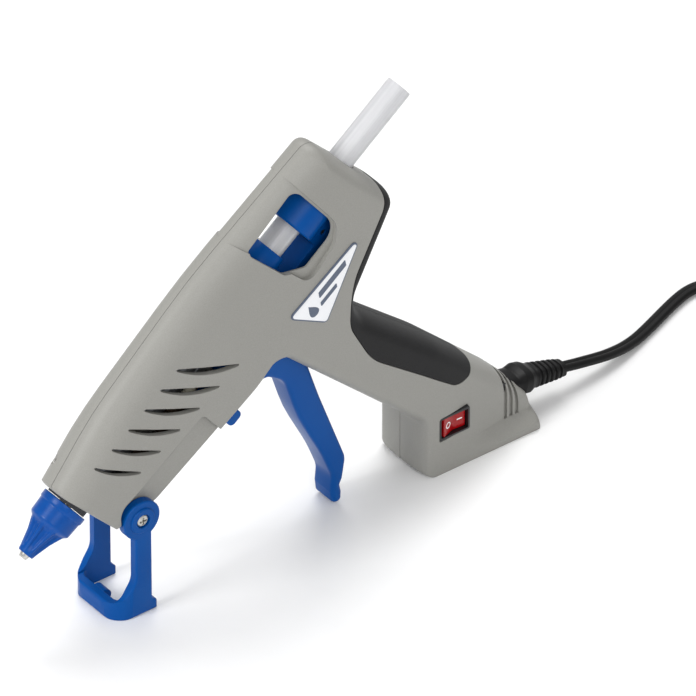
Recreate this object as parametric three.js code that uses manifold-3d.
// Mains-powered hot-melt glue gun standing on its folding front bail and its handle base.
// Stand frame: X rearwards, Y to the gun's right, Z up, bench at z = 0, x = 0 under the bail pivot.
// Barrel frame: X along the barrel from the housing's front face, Z up out of the barrel's top.
import * as THREE from "three";
import { mergeVertices } from "three/addons/utils/BufferGeometryUtils.js";
import Module from "manifold-3d";

const wasm = await Module();
wasm.setup();

// ---- Driving dimensions, mm and degrees -------------------------------------------------------
const TILT = THREE.MathUtils.degToRad(38.1); // barrel's nose-down angle when the gun stands
const GAP = 0.3; // clearance between touching solids
const RUN = 0.35; // running clearance of moving faces

const BARREL_LENGTH = 180.6; // housing, front face to rear face
const STICK_D = 11.2; // glue stick
const STICK_FRONT = 70; // stick's ends along the barrel
const STICK_REAR = BARREL_LENGTH + 34.9;
const BORE_CLEAR = 0.45; // radial room round the stick

const BODY_HALF = STICK_D / 2 + 10.4; // half width of the housing, which must clear the chamber
const EDGE_ROUND = BODY_HALF - 3; // depth of the housing's side rounding
const EDGE_FLAT = 2.5; // half width of the rim before the rounding starts
const WALL = 2.8; // housing wall
const PARTING = 0.3; // gap between the halves
const RUBBER = 1.4; // overmoulded grip's thickness

const BASE_FRONT = 144.2; // base in the stand frame
const BASE_REAR = 208.5;
const BASE_HEIGHT = 28.6;

const BAIL_PIVOT = [13.3, -25.3]; // barrel frame
const BAIL_HEIGHT = 47.8; // pivot above the bench
const BAIL_INNER = BODY_HALF - 3.6; // half distance between the bail's cheeks
const BAIL_CHEEK = 3.8; // cheek thickness
const EAR_R = 9;
const LEG_WIDTH = 8.2;
const BAR_REACH = 14.3; // bar's front face ahead of the pivot
const BAR_HEIGHT = 8.6;
const BAR_THICK = 4;

const TRIGGER_PIVOT = [84, -24]; // barrel frame
const TRIGGER_WIDTH = 13;
const TRIGGER_PIN_R = 1.7;
const LEVER_PIVOT = [118.5, -44];
const LEVER_PIN_R = 1.5;
const LEVER_UP = 24; // lever's upper arm
const LEVER_TRAVEL = 12; // carriage travel that the lever gives
const LEVER_NOSE = 3; // radius of the lever's rounded ends
const LEVER_WIDTH = 5;

const CHAMBER_FRONT = 3.7;
const CHAMBER_REAR = 84;
const CHAMBER_R = STICK_D / 2 + 2.4;
const SLEEVE_WALL = 1.7;
const RING_FRONT = BARREL_LENGTH - 36.9; // clamp ring of the feed carriage
const RING_LENGTH = 13.4;
const SLEEVE_REAR = RING_FRONT - 12.5;
const RING_R = STICK_D / 2 + 5.4;
const CARRIAGE_DROP = STICK_D / 2 + 7.4; // top of the carriage's arm below the axis
const CARRIAGE_PLATE = 3.5;

const SWITCH_AT = [160.6, 22.6]; // centre of the switch, stand frame
const SWITCH_SIZE = [16, 11.6];
const INLET_AT = [201.6, 17]; // where the connector leaves the base, stand frame
const INLET_DROP = THREE.MathUtils.degToRad(12);

const CORD_WIDE = 5.8;
const CORD_THICK = 3.4;
const HANK_BEND = 20.3; // mid radius of the folded cord's ends
const HANK_STRAIGHT = 45.8; // its straight runs
const HANK_COLUMNS = 2;
const HANK_HEIGHT = 10.9; // three layers of cord

// ---- Materials --------------------------------------------------------------------------------
const finish = (color, roughness, metalness = 0) =>
  new THREE.MeshStandardMaterial({ color, roughness, metalness });
const GREY = 0xa9aaa4;
const BLUE = 0x0b4fa8;
const ARC_STEP = 0.5; // radians of a rounded corner per facet
const RUBBER_BLACK = 0x2b2c2e;
const STEEL = 0xb9bbbd;

// ---- Frames -----------------------------------------------------------------------------------
const sinT = Math.sin(TILT);
const cosT = Math.cos(TILT);
const BARREL_AT = [
  -(BAIL_PIVOT[0] * cosT - BAIL_PIVOT[1] * sinT),
  BAIL_HEIGHT - (BAIL_PIVOT[0] * sinT + BAIL_PIVOT[1] * cosT),
];

// A side-view point of the barrel frame in the stand frame.
const onBarrel = (along, up) => [
  BARREL_AT[0] + along * cosT - up * sinT,
  BARREL_AT[1] + along * sinT + up * cosT,
];
const corner = (along, up, radius, round = 1) => [...onBarrel(along, up), radius, round];

const barrelMatrix = new THREE.Matrix4()
  .makeTranslation(BARREL_AT[0], 0, BARREL_AT[1])
  .multiply(new THREE.Matrix4().makeRotationY(-TILT));

// ---- Solids -----------------------------------------------------------------------------------
// Closed solid of a three.js geometry, faces turned outwards.
function solid(geometry) {
  const bare = geometry.clone();
  bare.deleteAttribute("normal");
  bare.deleteAttribute("uv");
  const merged = mergeVertices(bare, 1e-4);
  const vertProperties = new Float32Array(merged.attributes.position.array);
  const triVerts = new Uint32Array(merged.index.array);
  if (signedVolume(vertProperties, triVerts) < 0) {
    for (let i = 0; i < triVerts.length; i += 3) {
      [triVerts[i + 1], triVerts[i + 2]] = [triVerts[i + 2], triVerts[i + 1]];
    }
  }
  return new wasm.Manifold(new wasm.Mesh({ numProp: 3, vertProperties, triVerts }));
}

function signedVolume(points, triangles) {
  const at = (i) => new THREE.Vector3().fromArray(points, 3 * triangles[i]);
  let sum = 0;
  for (let i = 0; i < triangles.length; i += 3) {
    sum += at(i).dot(at(i + 1).cross(at(i + 2)));
  }
  return sum / 6;
}

function geometryOf(manifold) {
  const mesh = manifold.getMesh();
  const geometry = new THREE.BufferGeometry();
  geometry.setAttribute("position", new THREE.BufferAttribute(mesh.vertProperties, 3));
  geometry.setIndex(new THREE.BufferAttribute(mesh.triVerts, 1));
  geometry.computeVertexNormals();
  return geometry;
}

const joined = (...solids) => solids.reduce((all, next) => all.add(next));
const cut = (body, ...tools) => tools.reduce((left, tool) => left.subtract(tool), body);
const mirrored = (manifold) => solid(geometryOf(manifold).scale(1, -1, 1));
const tilted = (geometry) => geometry.applyMatrix4(barrelMatrix);

function part(group, name, manifold, material) {
  const mesh = new THREE.Mesh(geometryOf(manifold), material);
  mesh.name = name;
  group.add(mesh);
  return mesh;
}

// Side-view outline with rounded corners. Each corner is [x, z, radius, round]; the outline is drawn
// inwards by wall + depth * round on the edge that starts at the corner.
function outline(corners, wall = 0, depth = 0) {
  const count = corners.length;
  const area = corners.reduce((sum, [x, z], i) => {
    const [nx, nz] = corners[(i + 1) % count];
    return sum + x * nz - nx * z;
  }, 0);
  const side = Math.sign(area); // +1 when the corners run anticlockwise
  const edges = corners.map(([x, z, , round = 1], i) => {
    const [nx, nz] = corners[(i + 1) % count];
    const length = Math.hypot(nx - x, nz - z);
    const dir = [(nx - x) / length, (nz - z) / length];
    const shift = wall + depth * round;
    return { dir, at: [x - dir[1] * side * shift, z + dir[0] * side * shift], shift };
  });
  const tips = edges.map((edge, i) => {
    const back = edges[(i + count - 1) % count];
    const cross = back.dir[0] * edge.dir[1] - back.dir[1] * edge.dir[0];
    const gap = [edge.at[0] - back.at[0], edge.at[1] - back.at[1]];
    const t = (gap[0] * edge.dir[1] - gap[1] * edge.dir[0]) / cross;
    return [back.at[0] + back.dir[0] * t, back.at[1] + back.dir[1] * t];
  });
  const points = [];
  corners.forEach(([, , radius = 0], i) => {
    const back = edges[(i + count - 1) % count];
    const { dir } = edges[i];
    const turn = Math.atan2(
      back.dir[0] * dir[1] - back.dir[1] * dir[0],
      back.dir[0] * dir[0] + back.dir[1] * dir[1],
    );
    const convex = Math.sign(turn) === side;
    const shift = (back.shift + edges[i].shift) / 2;
    const [px, pz] = tips[i];
    const [bx, bz] = tips[(i + count - 1) % count];
    const [nx, nz] = tips[(i + 1) % count];
    const room = 0.48 * Math.min(Math.hypot(px - bx, pz - bz), Math.hypot(nx - px, nz - pz));
    const half = Math.tan(Math.abs(turn) / 2);
    const wanted = convex ? Math.max(radius - shift, 0.2) : radius + shift;
    const r = Math.min(wanted, room / half);
    const steps = radius ? Math.max(1, Math.ceil(Math.abs(turn) / ARC_STEP)) : 0;
    if (!steps) points.push([px, pz]);
    const start = [px - back.dir[0] * r * half, pz - back.dir[1] * r * half];
    const bend = Math.sign(turn);
    const centre = [start[0] - back.dir[1] * r * bend, start[1] + back.dir[0] * r * bend];
    for (let k = 0; steps && k <= steps; k += 1) {
      const a = (turn * k) / steps;
      const [dx, dz] = [start[0] - centre[0], start[1] - centre[1]];
      points.push([
        centre[0] + dx * Math.cos(a) - dz * Math.sin(a),
        centre[1] + dx * Math.sin(a) + dz * Math.cos(a),
      ]);
    }
  });
  return points;
}

// Plate of a side-view outline between two lateral positions.
function plate(points, y0, y1) {
  const shape = new THREE.Shape(points.map(([x, z]) => new THREE.Vector2(x, z)));
  const geometry = new THREE.ExtrudeGeometry(shape, { depth: Math.abs(y1 - y0), bevelEnabled: false });
  return geometry.rotateX(Math.PI / 2).translate(0, Math.max(y0, y1), 0);
}

// Solid skinned over rings of side-view points, each ring at its own lateral position.
function loft(rings) {
  const count = rings[0].points.length;
  const position = rings.flatMap(({ points, y }) => points.flatMap(([x, z]) => [x, y, z]));
  const index = [];
  for (let k = 0; k + 1 < rings.length; k += 1) {
    for (let i = 0; i < count; i += 1) {
      const j = (i + 1) % count;
      const [a, b, c, d] = [k * count + i, k * count + j, (k + 1) * count + i, (k + 1) * count + j];
      index.push(a, b, c, b, d, c);
    }
  }
  [0, rings.length - 1].forEach((k, end) => {
    const flat = rings[k].points.map(([x, z]) => new THREE.Vector2(x, z));
    const clockwise = THREE.ShapeUtils.isClockWise(flat);
    THREE.ShapeUtils.triangulateShape(flat, []).forEach(([a, b, c]) => {
      const face = [a, b, c].map((i) => k * count + i);
      index.push(...((end === 0) === clockwise ? face : face.reverse()));
    });
  });
  const geometry = new THREE.BufferGeometry();
  geometry.setAttribute("position", new THREE.Float32BufferAttribute(position, 3));
  geometry.setIndex(index);
  return geometry;
}

// Box between two corners.
function box([x0, y0, z0], [x1, y1, z1]) {
  return new THREE.BoxGeometry(x1 - x0, y1 - y0, z1 - z0).translate(
    (x0 + x1) / 2, (y0 + y1) / 2, (z0 + z1) / 2,
  );
}

// Body turned about the X axis through the barrel's axis; profile is [along, radius].
function turned(profile, sides = 20) {
  const points = profile.map(([along, radius]) => new THREE.Vector2(radius, along));
  return new THREE.LatheGeometry(points, sides).rotateZ(-Math.PI / 2);
}

// Round bar and tube along the barrel's axis.
const rod = (x0, x1, radius, sides) => turned([[x0, 0], [x0, radius], [x1, radius], [x1, 0]], sides);
const sleeve = (x0, x1, bore, radius) =>
  turned([[x0, bore], [x0, radius], [x1, radius], [x1, bore], [x0, bore]]);

// Round bar across the gun at a side-view point.
const crossBar = ([x, z], radius, y0, y1, sides = 16) =>
  new THREE.CylinderGeometry(radius, radius, Math.abs(y1 - y0), sides).translate(x, (y0 + y1) / 2, z);

// Wire or cord along a smooth curve.
function tube(points, width, height, steps, sides = 8) {
  const section = new THREE.Shape();
  for (let i = 0; i < sides; i += 1) {
    const a = ((i + 0.5) / sides) * 2 * Math.PI;
    section[i ? "lineTo" : "moveTo"]((width / 2) * Math.cos(a), (height / 2) * Math.sin(a));
  }
  const extrudePath = new THREE.CatmullRomCurve3(points.map((p) => new THREE.Vector3(...p)));
  return new THREE.ExtrudeGeometry(section, { steps, extrudePath, bevelEnabled: false });
}

// Stadium-shaped link between two points.
const link = ([ax, az], [bx, bz], radius, halfWidth) => {
  const angle = Math.atan2(bz - az, bx - ax);
  const length = Math.hypot(bx - ax, bz - az);
  const bar = box([0, -halfWidth, -radius], [length, halfWidth, radius]).rotateY(-angle);
  return joined(
    solid(bar.translate(ax, 0, az)),
    solid(crossBar([ax, az], radius, -halfWidth, halfWidth)),
    solid(crossBar([bx, bz], radius, -halfWidth, halfWidth)),
  );
};

// ---- Housing ----------------------------------------------------------------------------------
// Corners run from the nose over the top, down the handle and back along the underside.
const housingCorners = [
  corner(0, 15.2, 2.5, 0.9),
  corner(30, 23, 80, 0.9),
  corner(100, 27.9, 260, 0.9),
  corner(BARREL_LENGTH - 6, 24.6, 6, 0.45),
  corner(BARREL_LENGTH, -27.5, 8, 0.6),
  corner(132.5, -49.5, 14, 0.5),
  corner(145, -108, 80, 0.5),
  [BASE_REAR - 20, BASE_HEIGHT + 4, 15, 0.5],
  [BASE_REAR - 4, 15.5, 8, 0.3],
  [BASE_REAR, 0, 2, 0],
  [BASE_FRONT, 0, 5, 0.3],
  [BASE_FRONT, BASE_HEIGHT, 5, 0.7],
  corner(99.5, -29.5, 9, 0.35),
  corner(70, -32.5, 20, 0.35),
  corner(22, -29.5, 20, 0.35),
  corner(3.6, -21.8, 1.5, 0.1),
];

// Left half of the body, drawn in by an even thickness, from the parting plane to its side.
function halfBody(inset, parting) {
  const rings = [{ points: outline(housingCorners, inset), y: parting }];
  const steps = 4;
  for (let i = 0; i <= steps; i += 1) {
    const a = ((i / steps) * Math.PI) / 2;
    const y = Math.max(EDGE_FLAT - inset, 0.4) * Math.cos(a) ** 2 + (BODY_HALF - inset) * Math.sin(a);
    rings.push({ points: outline(housingCorners, inset, EDGE_ROUND * (1 - Math.cos(a))), y: -y });
  }
  return solid(loft(rings));
}

// Room that the bail's cheeks sweep: round the ear, then everything below the side channel.
const channelCorners = (grow) => [
  corner(BAIL_PIVOT[0] + BAIL_HEIGHT + 0.9 + grow, -14.6 + grow, 2),
  corner(BAIL_PIVOT[0] + BAIL_HEIGHT + 0.9 + grow, -60, 0),
  corner(-12, -60, 0),
  corner(BAIL_PIVOT[0] - EAR_R - 0.7 - grow, BAIL_PIVOT[1] - 3, 0),
  corner(BAIL_PIVOT[0] - EAR_R - 0.7 - grow, BAIL_PIVOT[1] + 2.5, 6),
  corner(BAIL_PIVOT[0] - 3, BAIL_PIVOT[1] + EAR_R + 3.5 + grow, 8),
];
const triggerSlot = [
  corner(76.5, -50, 0),
  corner(76.5, -24, 0),
  corner(101, -20, 0),
  corner(114, -42, 0),
  corner(118, -106, 0),
  corner(104, -110, 0),
  corner(90, -60, 0),
];
const windowCorners = [
  corner(126, 21.5, 2),
  corner(BARREL_LENGTH - 25.2, 20, 4),
  corner(BARREL_LENGTH - 25.2, -9, 8),
  corner(135, -9.5, 2),
  corner(126, -1, 2),
];
const rubberCorners = [
  corner(BARREL_LENGTH - 2.1, -17, 0),
  corner(BARREL_LENGTH - 8.6, -22.3, 6),
  corner(142.5, -35.6, 30),
  corner(127, -52, 16),
  corner(122.6, -76, 30),
  corner(131, -108, 60),
  corner(137.5, -134, 9),
  corner(172, -134, 0),
  corner(150, -62, 0),
  corner(152, -51, 0),
  corner(BARREL_LENGTH + 19.4, -30, 0),
  corner(BARREL_LENGTH + 19.4, -17, 0),
];

// Lens-shaped vents: a straight top edge and a bowed lower edge.
function ventPoints(i) {
  const [along, up] = [17 + 10.75 * i, 12.8];
  const length = 23.5 + 1.95 * i;
  const bow = 2.0 + 0.3 * i;
  const slope = THREE.MathUtils.degToRad(-60.8 + 0.6 * i);
  const steps = 6;
  const lens = [];
  for (let k = 0; k <= steps; k += 1) {
    const t = k / steps;
    lens.push([t * length, -4 * bow * t * (1 - t) - 0.5]);
  }
  lens.push([length, 0.5], [0, 0.5]);
  return lens.map(([x, z]) =>
    onBarrel(
      along + x * Math.cos(slope) - z * Math.sin(slope),
      up + x * Math.sin(slope) + z * Math.cos(slope),
    ),
  );
}
const VENTS = 6;

const screwPlaces = [
  onBarrel(11, 13),
  onBarrel(98, 20.4),
  onBarrel(BARREL_LENGTH - 10.4, 16.5),
  onBarrel(BARREL_LENGTH - 11.1, -17.5),
  onBarrel(124.5, -93),
  [BASE_FRONT + 13.5, 10.5],
];
const SCREW_SHAFT_R = 1.15;
const SCREW_HEAD_R = 2.5;
const SCREW_SEAT = 8; // lateral position of the head's seat
const SCREW_END = -9;
const BOSS_R = 4;
const PIVOT_BOSS_R = 3.7;
const PIN_HALF = BODY_HALF - 3.8; // half length of the pivot pins

// Rib across the barrel with a round seat, cut off below a level.
const rib = (along, thick, seat, low) =>
  cut(
    solid(tilted(box([along, -BODY_HALF, low], [along + thick, BODY_HALF, 30]))),
    solid(tilted(rod(along - 1, along + thick + 1, seat))),
  );

const leftRoom = solid(box([-80, -40, -20], [260, -PARTING / 2, 220]));

// Everything that is moulded inside a half, before the openings are cut.
function innerDetails() {
  const bosses = screwPlaces.map((at) => solid(crossBar(at, BOSS_R, -BODY_HALF, 0, 14)));
  const pivots = [
    crossBar(onBarrel(...TRIGGER_PIVOT), PIVOT_BOSS_R, -BODY_HALF, -(TRIGGER_WIDTH / 2 + RUN), 14),
    crossBar(onBarrel(...LEVER_PIVOT), PIVOT_BOSS_R, -BODY_HALF, -7.6, 14),
    crossBar(onBarrel(...BAIL_PIVOT), 4.4, -BODY_HALF, -3, 14),
  ].map(solid);
  const ribs = [
    rib(7, 2.4, CHAMBER_R + 0.6 + GAP, -17),
    rib(73.5, 2.4, CHAMBER_R + GAP, -12),
    rib(118, 2.4, CHAMBER_R + 0.9, -CARRIAGE_DROP + 1.2),
    rib(BARREL_LENGTH - 17.1, 2.4, STICK_D / 2 + BORE_CLEAR + 0.1, -10),
  ];
  return joined(...bosses, ...pivots, ...ribs);
}

const inletMatrix = new THREE.Matrix4()
  .makeTranslation(INLET_AT[0], 0, INLET_AT[1])
  .multiply(new THREE.Matrix4().makeRotationY(INLET_DROP));
const atInlet = (geometry) => geometry.applyMatrix4(inletMatrix);
const SOCKET = { back: -26, front: -11, halfWide: 9.4, halfHigh: 6.3 };
const PLUG_NOSE = { halfWide: 7, halfHigh: 4 };

// One half of the body with the cuts that both halves share.
function shell() {
  const outer = halfBody(0, -PARTING / 2);
  const channel = solid(plate(outline(channelCorners(0)), -BAIL_INNER + RUN, -30));
  const channelWall = solid(plate(outline(channelCorners(2)), -BAIL_INNER + RUN + 2.4, -30));
  const cavity = cut(halfBody(WALL, 0.5), channelWall);
  const details = innerDetails().intersect(outer).intersect(leftRoom);
  const nozzleHole = rod(-3, 6, CHAMBER_R + 1.5);
  const stickHole = rod(BARREL_LENGTH - 20.6, BARREL_LENGTH + 9.4, STICK_D / 2 + 1);
  const holes = screwPlaces.map((at) => solid(crossBar(at, SCREW_SHAFT_R + GAP, SCREW_END - 0.6, 1, 12)));
  const pins = [
    crossBar(onBarrel(...TRIGGER_PIVOT), TRIGGER_PIN_R + GAP, -PIN_HALF - 0.4, 1, 14),
    crossBar(onBarrel(...LEVER_PIVOT), LEVER_PIN_R + GAP, -PIN_HALF - 0.4, 1, 14),
    crossBar(onBarrel(...BAIL_PIVOT), 1.8, -20, -4.4, 14),
  ].map(solid);
  const rubber = cut(
    solid(plate(outline(rubberCorners, -GAP / 2), -30, 5)),
    halfBody(RUBBER + GAP, 5.5),
  );
  const vents = Array.from({ length: VENTS }, (_, i) => solid(plate(ventPoints(i), -30, -9.2)));
  const catchSlot = box([64.9, -CATCH.stem - GAP, -40], [75.2, CATCH.stem + GAP, -24]);
  return cut(
    cut(outer, cavity).add(details),
    channel,
    rubber,
    solid(tilted(nozzleHole)),
    solid(tilted(stickHole)),
    ...holes,
    ...pins,
    ...vents,
    solid(plate(outline(windowCorners), -30, -9)),
    solid(plate(outline(triggerSlot), -(TRIGGER_WIDTH / 2 + 0.8), 1)),
    solid(tilted(catchSlot)),
    solid(atInlet(box(
      [SOCKET.back - GAP, -SOCKET.halfWide - GAP, -SOCKET.halfHigh - GAP],
      [SOCKET.front + GAP, 5, SOCKET.halfHigh + GAP],
    ))),
    solid(atInlet(box([SOCKET.front, -8.2, -6.2], [30, 5, 6.2]))),
  );
}
const CATCH = { front: 65.4, rear: 72.6, half: 4.8, stem: 3, top: -33.1, bottom: -47 };

const half = shell();

function leftHousing() {
  const [sx, sz] = SWITCH_AT;
  const [w, h] = [SWITCH_SIZE[0] / 2 + GAP, SWITCH_SIZE[1] / 2 + GAP];
  return cut(half, solid(box([sx - w, -20, sz - h], [sx + w, -5, sz + h])));
}

function rightHousing() {
  const seats = screwPlaces.map((at) => solid(crossBar(at, SCREW_HEAD_R + GAP, SCREW_SEAT - GAP, 20, 14)));
  return cut(mirrored(half), ...seats);
}

function leftGrip() {
  const region = solid(plate(outline(rubberCorners, GAP / 2), -30, 5));
  return cut(halfBody(0, -PARTING / 2).intersect(region), halfBody(RUBBER, 0.5));
}

// ---- Nozzle and melt chamber ------------------------------------------------------------------
function nozzleTip() {
  return solid(turned([
    [-28.7, 1], [-28.7, 1.75], [-26.5, 2.3], [-12, 5.6], [-9.5, 7], [-1.2, 7], [-1.2, 3], [13, 3], [13, 1],
    [-28.7, 1],
  ]));
}

function nozzleCover() {
  return solid(turned([
    [-0.9, 7.4], [-0.9, 10.2], [-4, 10.2], [-4.4, 9.8], [-11.2, 9.5], [-12.2, 8.1], [-18, 5.7], [-26.7, 3.5],
    [-26.7, 2.7], [-12.2, 6.1], [-9.7, 7.4], [-0.9, 7.4],
  ]));
}

function meltChamber() {
  const bore = STICK_D / 2 + BORE_CLEAR;
  return solid(turned([
    [CHAMBER_FRONT, 3 + GAP], [CHAMBER_FRONT, CHAMBER_R + 0.6], [12, CHAMBER_R + 0.6], [13, CHAMBER_R],
    [CHAMBER_REAR - 7, CHAMBER_R], [CHAMBER_REAR - 7, CHAMBER_R + 1.4], [CHAMBER_REAR, CHAMBER_R + 1.4],
    [CHAMBER_REAR, bore], [30, bore], [15, 3 + GAP], [CHAMBER_FRONT, 3 + GAP],
  ]));
}

function feedSleeve() {
  const bore = STICK_D / 2 + BORE_CLEAR;
  const rear = bore + SLEEVE_WALL - 0.3;
  return solid(turned([
    [CHAMBER_REAR + GAP, bore], [CHAMBER_REAR + GAP, bore + SLEEVE_WALL + 1], [117, bore + SLEEVE_WALL + 0.6],
    [SLEEVE_REAR - 5, bore + SLEEVE_WALL + 0.5], [SLEEVE_REAR, rear], [SLEEVE_REAR, bore],
    [CHAMBER_REAR + GAP, bore],
  ]));
}

const HEATER = { front: 24, rear: 60, half: 7, top: -CHAMBER_R - RUN, thick: 5 };

function heaterElement() {
  const { front, rear, half: reach, top, thick } = HEATER;
  return solid(box([front, -reach, top - thick], [rear, reach, top]));
}

// Small axial fuse lying along the chamber, behind the heater.
const thermalFuse = () => solid(rod(60.5, 68.5, 2, 12).translate(0, -4, HEATER.top - 3.05));

function heaterClip() {
  const low = HEATER.top - HEATER.thick;
  const [wide, high] = [BAIL_INNER - 2.8, CHAMBER_R + 1.6];
  const outer = box([37, -wide, low - 1.1], [45, wide, high]);
  const inner = box([36, 0.9 - wide, low - GAP], [46, wide - 0.9, high - 0.9]);
  return cut(solid(outer), solid(inner));
}

// ---- Feed mechanism ---------------------------------------------------------------------------
const leverTilt = Math.asin(LEVER_TRAVEL / 2 / LEVER_UP);
const leverTip = [
  LEVER_PIVOT[0] + LEVER_UP * Math.sin(leverTilt),
  LEVER_PIVOT[1] + LEVER_UP * Math.cos(leverTilt),
];
const leverFoot = [LEVER_PIVOT[0] - 9.9, LEVER_PIVOT[1] - 13.2];
const CLAMP_AT = [RING_FRONT + 6.3, -STICK_D / 2 - 6.8];
const CLAMP_PIN_R = 1;

function feedCarriage() {
  const bore = STICK_D / 2 + BORE_CLEAR + 0.15;
  const rear = RING_FRONT + RING_LENGTH;
  const low = -CARRIAGE_DROP - CARRIAGE_PLATE;
  const lug = leverTip[0] - LEVER_NOSE - 2 * RUN; // rear face of the lug that the lever pushes
  const body = joined(
    solid(rod(RING_FRONT, rear, RING_R, 28)),
    solid(box([RING_FRONT, -6.5, low], [rear, 6.5, -8])),
    solid(box([lug - 4, -6.5, low], [RING_FRONT + 1, 6.5, -CARRIAGE_DROP])),
    solid(box([lug - 4, -4, leverTip[1]], [lug, 4, low + 1])),
  );
  return cut(
    body,
    solid(rod(RING_FRONT - 1, rear + 1, bore)),
    solid(box([CLAMP_AT[0] - 4.2, -2.3, low - 1], [CLAMP_AT[0] + 4.6, 2.3, -5])),
    solid(crossBar(CLAMP_AT, CLAMP_PIN_R + GAP, -8, 8, 12)),
  );
}

function stickClamp() {
  const [u, w] = CLAMP_AT;
  const tooth = outline([
    [u - 2.2, w - 1, 0], [u + 2.4, w - 1, 0], [u + 2.6, w + 4, 1], [u + 1.5, w + 6.3, 0],
    [u - 0.4, w + 5.6, 0],
  ]);
  return cut(
    joined(solid(plate(tooth, -2, 2)), solid(crossBar(CLAMP_AT, 2.6, -2, 2, 14))),
    solid(crossBar(CLAMP_AT, CLAMP_PIN_R + GAP, -4, 4, 12)),
  );
}

function feedLever() {
  const body = joined(
    link(LEVER_PIVOT, leverTip, LEVER_NOSE, LEVER_WIDTH / 2),
    link(LEVER_PIVOT, leverFoot, LEVER_NOSE, LEVER_WIDTH / 2),
    solid(crossBar(LEVER_PIVOT, 3.3, -7.2, 7.2)),
  );
  return cut(body, solid(crossBar(LEVER_PIVOT, LEVER_PIN_R + GAP, -9, 9)));
}

function trigger() {
  const side = outline([
    [79, -19.5, 4], [91, -19.2, 4], [99.5, -25, 6], [105.8, -41, 6], [107, -52.5, 3], [84.4, -114, 4],
    [77.6, -120.2, 3], [75, -128.8, 2.6], [68.8, -128.6, 2.8], [70.5, -120.8, 2.5], [75.2, -117.5, 4],
    [80, -104, 30], [88, -72, 40], [93.8, -52, 8], [90.5, -43.5, 5], [78.6, -33.6, 5],
  ]);
  return cut(
    solid(plate(side, -TRIGGER_WIDTH / 2, TRIGGER_WIDTH / 2)),
    solid(crossBar(TRIGGER_PIVOT, TRIGGER_PIN_R + GAP, -9, 9)),
  );
}

// Torsion spring round the lever's hub.
function leverSpring() {
  const turns = 3;
  const steps = 48;
  const points = [];
  for (let i = 0; i <= steps; i += 1) {
    const a = (i / steps) * turns * 2 * Math.PI;
    points.push([
      LEVER_PIVOT[0] + 4.4 * Math.cos(a), 3.5 + (3.2 * i) / steps, LEVER_PIVOT[1] + 4.4 * Math.sin(a),
    ]);
  }
  return solid(tube(points, 0.9, 0.9, steps, 6));
}

// ---- Bail and its catch -----------------------------------------------------------------------
function standBail() {
  const [front, rear] = [0.8 - LEG_WIDTH / 2, 0.8 + LEG_WIDTH / 2];
  const side = outline([
    [rear, BAIL_HEIGHT, 0], [rear, 6, 2], [rear + 2.4, 4.4, 1], [rear + 2.4, 0, 0], [-BAR_REACH, 0, 2],
    [-BAR_REACH, BAR_HEIGHT, 2.5], [front - 3.5, BAR_HEIGHT + 1.5, 4], [front, BAR_HEIGHT + 9, 6],
    [front, BAIL_HEIGHT, 0],
  ]);
  const outer = BAIL_INNER + BAIL_CHEEK;
  const ear = (y0, y1, r) => solid(crossBar([0, BAIL_HEIGHT], r, y0, y1, 28));
  const body = joined(
    solid(plate(side, -outer, outer)),
    ear(-outer, outer, EAR_R),
    ear(-outer - 0.8, outer + 0.8, 5.8),
  );
  return cut(
    body,
    solid(box([-BAR_REACH + BAR_THICK, -BAIL_INNER, -1], [30, BAIL_INNER, 80])),
    solid(box([-30, -BAIL_INNER, BAR_HEIGHT], [30, BAIL_INNER, 80])),
    ear(-30, -outer + 0.3, 3.2),
    ear(outer - 0.3, 30, 3.2),
    ear(-30, 30, 1.9),
  ).add(solid(crossBar([-BAR_REACH + BAR_THICK, 4.8], 3, -3, 3, 12)));
}

function bailScrew(side) {
  const outer = BAIL_INNER + BAIL_CHEEK;
  const head = crossBar([0, BAIL_HEIGHT], 2.8, side * (outer + 0.65), side * outer, 20);
  const shaft = crossBar([0, BAIL_HEIGHT], 1.5, side * (outer + 0.2), side * 5, 12);
  return joined(solid(head), solid(shaft));
}

function bailCatch() {
  const grip = outline([
    [CATCH.front, CATCH.top, 1.5], [CATCH.front, CATCH.bottom, 2.2],
    [CATCH.rear, CATCH.bottom, 2.2], [CATCH.rear, CATCH.top, 1.5],
  ]);
  const seat = WALL - 31.4; // inner face of the housing under the catch
  return joined(
    solid(plate(grip, -CATCH.half, CATCH.half)),
    solid(box([CATCH.front + 0.2, -CATCH.stem, CATCH.top - 1], [CATCH.rear - 0.9, CATCH.stem, seat + 0.2])),
    solid(box([CATCH.front - 2, -CATCH.stem - 2.4, seat], [CATCH.rear + 0.4, CATCH.stem + 2.4, seat + 2.2])),
    solid(box([CATCH.front - 12, -2, seat + 1.1], [CATCH.front - 1, 2, seat + 2])), // moulded leaf spring
  );
}

// ---- Switch, inlet and wires ------------------------------------------------------------------
const ROCKER_AT = [SWITCH_AT[0], -11]; // hinge line, x and y

function switchFrame() {
  const [sx, sz] = SWITCH_AT;
  const [w, h] = [SWITCH_SIZE[0] / 2, SWITCH_SIZE[1] / 2];
  const body = joined(
    solid(box([sx - w, -BODY_HALF + 0.3, sz - h], [sx + w, -4, sz + h])),
    solid(box([sx - 3.2, -4.5, sz - 3], [sx - 2.4, 1.5, sz + 3])),
    solid(box([sx + 2.4, -4.5, sz - 3], [sx + 3.2, 1.5, sz + 3])),
  );
  return cut(body, solid(box([sx - w + 0.9, -20, sz - h + 0.9], [sx + w - 0.9, -7.4, sz + h - 0.9])));
}

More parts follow.
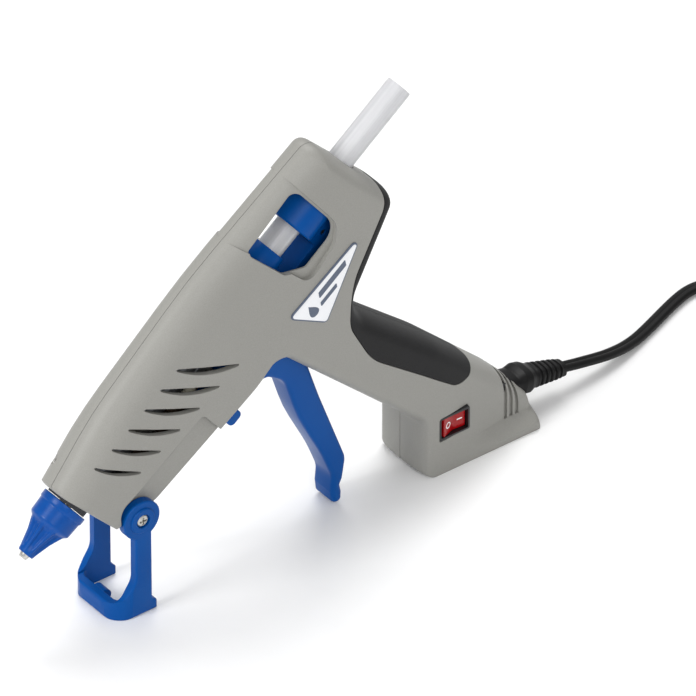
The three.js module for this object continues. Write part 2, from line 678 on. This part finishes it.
// Rocker seen from above, a shallow V tipped to its off side.
function switchRocker() {
  const tip = THREE.MathUtils.degToRad(8);
  const plan = [[-6.3, -3.9], [0, -2.7], [6.3, -3.9], [6.1, 1.2], [-6.1, 1.2]].map(([x, y]) => [
    ROCKER_AT[0] + x * Math.cos(tip) - y * Math.sin(tip),
    ROCKER_AT[1] + x * Math.sin(tip) + y * Math.cos(tip),
  ]);
  const shape = new THREE.Shape(plan.map(([x, y]) => new THREE.Vector2(x, y)));
  const high = SWITCH_SIZE[1] - 1.8 - 2 * RUN;
  const body = new THREE.ExtrudeGeometry(shape, { depth: high, bevelEnabled: false });
  return solid(body.translate(0, 0, SWITCH_AT[1] - high / 2));
}

function powerInlet() {
  const { back, front, halfWide, halfHigh } = SOCKET;
  const body = solid(box([back, -halfWide, -halfHigh], [front, halfWide, halfHigh]));
  const mouth = solid(box([back + 3, -PLUG_NOSE.halfWide - 0.5, -PLUG_NOSE.halfHigh - 0.5],
    [front + 1, PLUG_NOSE.halfWide + 0.5, PLUG_NOSE.halfHigh + 0.5]));
  const pinHoles = [-1, 1].map((s) => solid(sleevePin(s * 4.2, 1.2 + GAP, back - 2, back + 5)));
  return cut(body, mouth, ...pinHoles);
}
const sleevePin = (y, radius, x0, x1) =>
  rod(x0, x1, radius, 12).translate(0, y, 0);

function powerConnector() {
  const { back } = SOCKET;
  const { halfWide, halfHigh } = PLUG_NOSE;
  const body = joined(
    solid(box([back + 3 + RUN, -halfWide, -halfHigh], [2, halfWide, halfHigh])),
    solid(turned([[1, 0], [1, 4.2], [3.5, 5.6], [7, 5.6], [9.5, 4.4], [13, 4.2], [27.4, 3.2], [27.4, 0]], 16)
      .scale(1, 1.35, 1)),
  );
  const contacts = [-1, 1].map((s) => solid(sleevePin(s * 4.2, 1.2 + GAP, back + 1, back + 14)));
  return cut(body, ...contacts);
}

// ---- Cord -------------------------------------------------------------------------------------
const cordStart = new THREE.Vector3(27.4 + GAP, 0, 0).applyMatrix4(inletMatrix).toArray();
const HANK_AT = [156, 18]; // folded cord's centre from the connector's end
const HANK_LOW = 1.1;
const HANK_HALF = (HANK_COLUMNS * CORD_WIDE) / 2 + 0.2; // half width of the bundle
const FLOOR = CORD_THICK / 2 + 0.3; // height of the cord's centre on the bench

function cordRoute() {
  const [x, y, z] = cordStart;
  return [
    [x, y, z], [x + 10, y, z - 2.2], [x + 22, y + 0.6, z - 5], [x + 36, y + 3, FLOOR + 2.2],
    [x + 50, y + 8, FLOOR + 0.4], [x + 66, y + 14, FLOOR], [x + 78, y + 18.2, FLOOR],
    [x + 86, y + 19.2, FLOOR], [x + 94, y + 17.4, FLOOR], [x + 101, y + 12, FLOOR],
    [x + 106, y + 5.2, FLOOR],
  ];
}

const fromHank = ([x, y], z) => [cordStart[0] + HANK_AT[0] + x, cordStart[1] + HANK_AT[1] + y, z];
const PLUG_BACK = [8, HANK_BEND - 4.3]; // where the cord enters the plug, from the hank's centre
const PLUG_TURN = Math.PI;
const PLUG_HALF_HIGH = 6.5;
const HANK_TOP = HANK_LOW + HANK_HEIGHT;
const PLUG_HEIGHT = HANK_TOP + GAP + PLUG_HALF_HIGH; // plug's middle; it lies on the hank
const NECK_DROP = 1.7; // cord end below the plug's middle

// Short climb from the hank's last pass to the plug that lies on it.
function cordTail() {
  const [x, y] = PLUG_BACK;
  const high = PLUG_HEIGHT - NECK_DROP;
  const low = HANK_TOP + GAP + CORD_THICK / 2 + 0.2;
  return tube(
    [[x + 17, y + 0.6], [x + 11, y + 0.4], [x + 5, y + 0.1], [x + 2 * GAP, y]].map((p, i) =>
      fromHank(p, low + ((high - low) * i) / 3)),
    CORD_WIDE, CORD_THICK, 8,
  );
}

// Racetrack of the folded cord, as one ring with its two straight runs.
function cordHank() {
  const track = (radius) => {
    const loop = new THREE.Shape();
    loop.absarc(HANK_STRAIGHT / 2, 0, radius, -Math.PI / 2, Math.PI / 2);
    loop.absarc(-HANK_STRAIGHT / 2, 0, radius, Math.PI / 2, (3 * Math.PI) / 2);
    return loop;
  };
  const ring = track(HANK_BEND + HANK_HALF);
  ring.holes.push(track(HANK_BEND - HANK_HALF));
  const options = { depth: HANK_HEIGHT, bevelEnabled: false, curveSegments: 14 };
  const body = new THREE.ExtrudeGeometry(ring, options);
  return solid(body.translate(...fromHank([0, 0], HANK_LOW)));
}

// Flat strap round one run of the hank.
function cordTie() {
  const reach = HANK_HALF + GAP;
  const strap = 0.7;
  const [near, far] = [-HANK_BEND - reach, -HANK_BEND + reach];
  const [low, high] = [HANK_LOW - GAP, HANK_TOP + GAP];
  const band = cut(
    solid(box([-3.5, near - strap, low - strap], [3.5, far + strap, high + strap])),
    solid(box([-5, near, low], [5, far, high])),
  );
  const curl = solid(box([-3.5, far - 5, high + strap - 0.2], [3.5, far - 1, high + strap + 1.6]));
  return solid(geometryOf(band.add(curl)).translate(...fromHank([5, 0], 0)));
}

// Flat two-blade plug, its cord end at its own origin and its blades along +X.
const inPlug = (geometry) => geometry.rotateZ(PLUG_TURN).translate(...fromHank(PLUG_BACK, PLUG_HEIGHT));

function mainsPlug() {
  const neck = rod(0, 10, 3.6, 12).scale(1, 1.3, 1).translate(0, 0, -NECK_DROP);
  return joined(
    solid(inPlug(neck)),
    solid(inPlug(box([9, -8, -PLUG_HALF_HIGH], [24, 8, PLUG_HALF_HIGH - 1.5]))),
    solid(inPlug(box([22, -10.5, -PLUG_HALF_HIGH], [31, 10.5, PLUG_HALF_HIGH]))),
  );
}

const plugBlade = (side) =>
  solid(inPlug(box([31 + GAP, side * 6.35 - 0.75, -3.2], [48, side * 6.35 + 0.75, 3.2])));

// Insulated wire through points given as [along, lateral, up] of the barrel frame.
const WIRE_D = 1.7;
const inBarrel = ([along, y, up]) => {
  const [x, z] = onBarrel(along, up);
  return [x, y, z];
};
const leadRun = (side) =>
  [[76, 9, -15.8], [90, 9.2, -17], [108, 9.2, -21.5], [121.5, 9.2, -34], [127, 9.1, -50],
    [128.8, 9.1, -66], [132.3, 9, -88], [134, 8.6, -108]].map(([u, y, w]) => inBarrel([u, side * y, w]));

function neutralWire() {
  return tube([
    inBarrel([60.9, 3, -10.5]), inBarrel([68, 6.5, -14.4]), ...leadRun(1),
    [161.5, 8, 42], [171, 6.8, 31], [173.6, 4.6, 23.2],
  ], WIRE_D, WIRE_D, 34, 6);
}

function switchedWire() {
  return tube([
    inBarrel([69.4, -4, -11.6]), inBarrel([72, -6.2, -15.2]), ...leadRun(-1),
    [156.5, -6.5, 46], [162, -2, 39], [163.4, 0.2, 32.6],
  ], WIRE_D, WIRE_D, 34, 6);
}

const liveWire = () =>
  tube([[173.6, -4.2, 22.8], [170.5, -2, 23.2], [166, 2.4, 24.6], [161.5, 3.9, 26], [158, 3.1, 27.5]],
    WIRE_D, WIRE_D, 10, 6);

// ---- Assembly ---------------------------------------------------------------------------------
const gun = new THREE.Group();
const barrel = new THREE.Group();
barrel.position.set(BARREL_AT[0], 0, BARREL_AT[1]);
barrel.rotation.y = -TILT;
gun.add(barrel);
const inlet = new THREE.Group();
inlet.position.set(INLET_AT[0], 0, INLET_AT[1]);
inlet.rotation.y = INLET_DROP;
gun.add(inlet);

part(gun, "left_housing", leftHousing(), finish(GREY, 0.55));
part(gun, "right_housing", rightHousing(), finish(GREY, 0.55));
const grip = leftGrip();
part(gun, "left_grip", grip, finish(RUBBER_BLACK, 0.8));
part(gun, "right_grip", mirrored(grip), finish(RUBBER_BLACK, 0.8));

part(barrel, "nozzle_tip", nozzleTip(), finish(STEEL, 0.3, 1));
part(barrel, "nozzle_cover", nozzleCover(), finish(0x0f5fc0, 0.3));
part(barrel, "nozzle_seal", solid(sleeve(-0.6, 3.4, 7.4, 9.1)), finish(0x3a3b3d, 0.7));
part(barrel, "melt_chamber", meltChamber(), finish(0x9a9c9f, 0.4, 1));
part(barrel, "heater_element", heaterElement(), finish(0xb08a4a, 0.5));
part(barrel, "heater_clip", heaterClip(), finish(STEEL, 0.35, 1));
part(barrel, "thermal_fuse", thermalFuse(), finish(0xd8d4c4, 0.4));
part(barrel, "feed_sleeve", feedSleeve(), finish(BLUE, 0.35));
part(barrel, "glue_stick", solid(rod(STICK_FRONT, STICK_REAR, STICK_D / 2)), finish(0xe9e7ea, 0.25));
part(barrel, "feed_carriage", feedCarriage(), finish(BLUE, 0.35));
part(barrel, "stick_clamp", stickClamp(), finish(STEEL, 0.4, 1));
const clampPin = solid(crossBar(CLAMP_AT, CLAMP_PIN_R, -6, 6, 12));
part(barrel, "clamp_pin", clampPin, finish(STEEL, 0.3, 1));
part(barrel, "trigger", trigger(), finish(BLUE, 0.4));
const triggerPin = solid(crossBar(TRIGGER_PIVOT, TRIGGER_PIN_R, -PIN_HALF, PIN_HALF));
part(barrel, "trigger_pin", triggerPin, finish(STEEL, 0.3, 1));
part(barrel, "feed_lever", feedLever(), finish(BLUE, 0.4));
const leverPin = solid(crossBar(LEVER_PIVOT, LEVER_PIN_R, -PIN_HALF, PIN_HALF));
part(barrel, "lever_pin", leverPin, finish(STEEL, 0.3, 1));
part(barrel, "lever_spring", leverSpring(), finish(STEEL, 0.3, 1));
part(barrel, "bail_catch", bailCatch(), finish(BLUE, 0.4));

part(gun, "stand_bail", standBail(), finish(BLUE, 0.4));
part(gun, "bail_screw_left", bailScrew(-1), finish(STEEL, 0.25, 1));
part(gun, "bail_screw_right", bailScrew(1), finish(STEEL, 0.25, 1));

screwPlaces.forEach((at, i) => {
  const head = crossBar(at, SCREW_HEAD_R, SCREW_SEAT + 2, SCREW_SEAT, 14);
  const shaft = crossBar(at, SCREW_SHAFT_R, SCREW_SEAT + 0.5, SCREW_END, 10);
  part(gun, `housing_screw_${i + 1}`, joined(solid(head), solid(shaft)), finish(STEEL, 0.35, 1));
});

const badgeSide = outline([corner(160.5, -20, 1.8), corner(122.6, -38.2, 2), corner(113.4, -18, 2)]);
const badge = solid(plate(badgeSide, -BODY_HALF - GAP, -BODY_HALF - 0.9));
part(gun, "badge_plate", badge, finish(0xd9dadb, 0.35, 0.5));

part(gun, "switch_frame", switchFrame(), finish(0x151516, 0.4));
part(gun, "switch_rocker", switchRocker(), finish(0xc2101c, 0.25));
part(gun, "neutral_wire", solid(neutralWire()), finish(0x2f6fc2, 0.5));
part(gun, "switched_wire", solid(switchedWire()), finish(0x6b4a33, 0.5));
part(gun, "live_wire", solid(liveWire()), finish(0x6b4a33, 0.5));
part(inlet, "power_inlet", powerInlet(), finish(0x1b1b1c, 0.5));
[-1, 1].forEach((s) => {
  const name = s < 0 ? "inlet_pin_left" : "inlet_pin_right";
  const pin = solid(sleevePin(s * 4.2, 1.2, SOCKET.back - 1, SOCKET.back + 12));
  part(inlet, name, pin, finish(0xcaa96a, 0.3, 1));
});

const cordSet = new THREE.Group();
const connectorMesh = part(cordSet, "power_connector", powerConnector(), finish(0x141415, 0.45));
connectorMesh.position.copy(inlet.position);
connectorMesh.rotation.copy(inlet.rotation);
part(cordSet, "power_cord", solid(tube(cordRoute(), CORD_WIDE, CORD_THICK, 22)), finish(0x141415, 0.45));
part(cordSet, "cord_hank", cordHank(), finish(0x141415, 0.45));
part(cordSet, "cord_tie", cordTie(), finish(0x1d1e20, 0.9));
part(cordSet, "cord_tail", solid(cordTail()), finish(0x141415, 0.45));
part(cordSet, "mains_plug", mainsPlug(), finish(0x141415, 0.45));
part(cordSet, "plug_blade_left", plugBlade(1), finish(0xc9b98a, 0.3, 1));
part(cordSet, "plug_blade_right", plugBlade(-1), finish(0xc9b98a, 0.3, 1));

// The origin is the middle of the gun's footprint box, on the bench, whatever its cord does.
const footprint = new THREE.Box3().setFromObject(gun, true);
const glueGun = new THREE.Group();
glueGun.add(gun, cordSet);
glueGun.position.x = -(footprint.min.x + footprint.max.x) / 2;

export default glueGun;
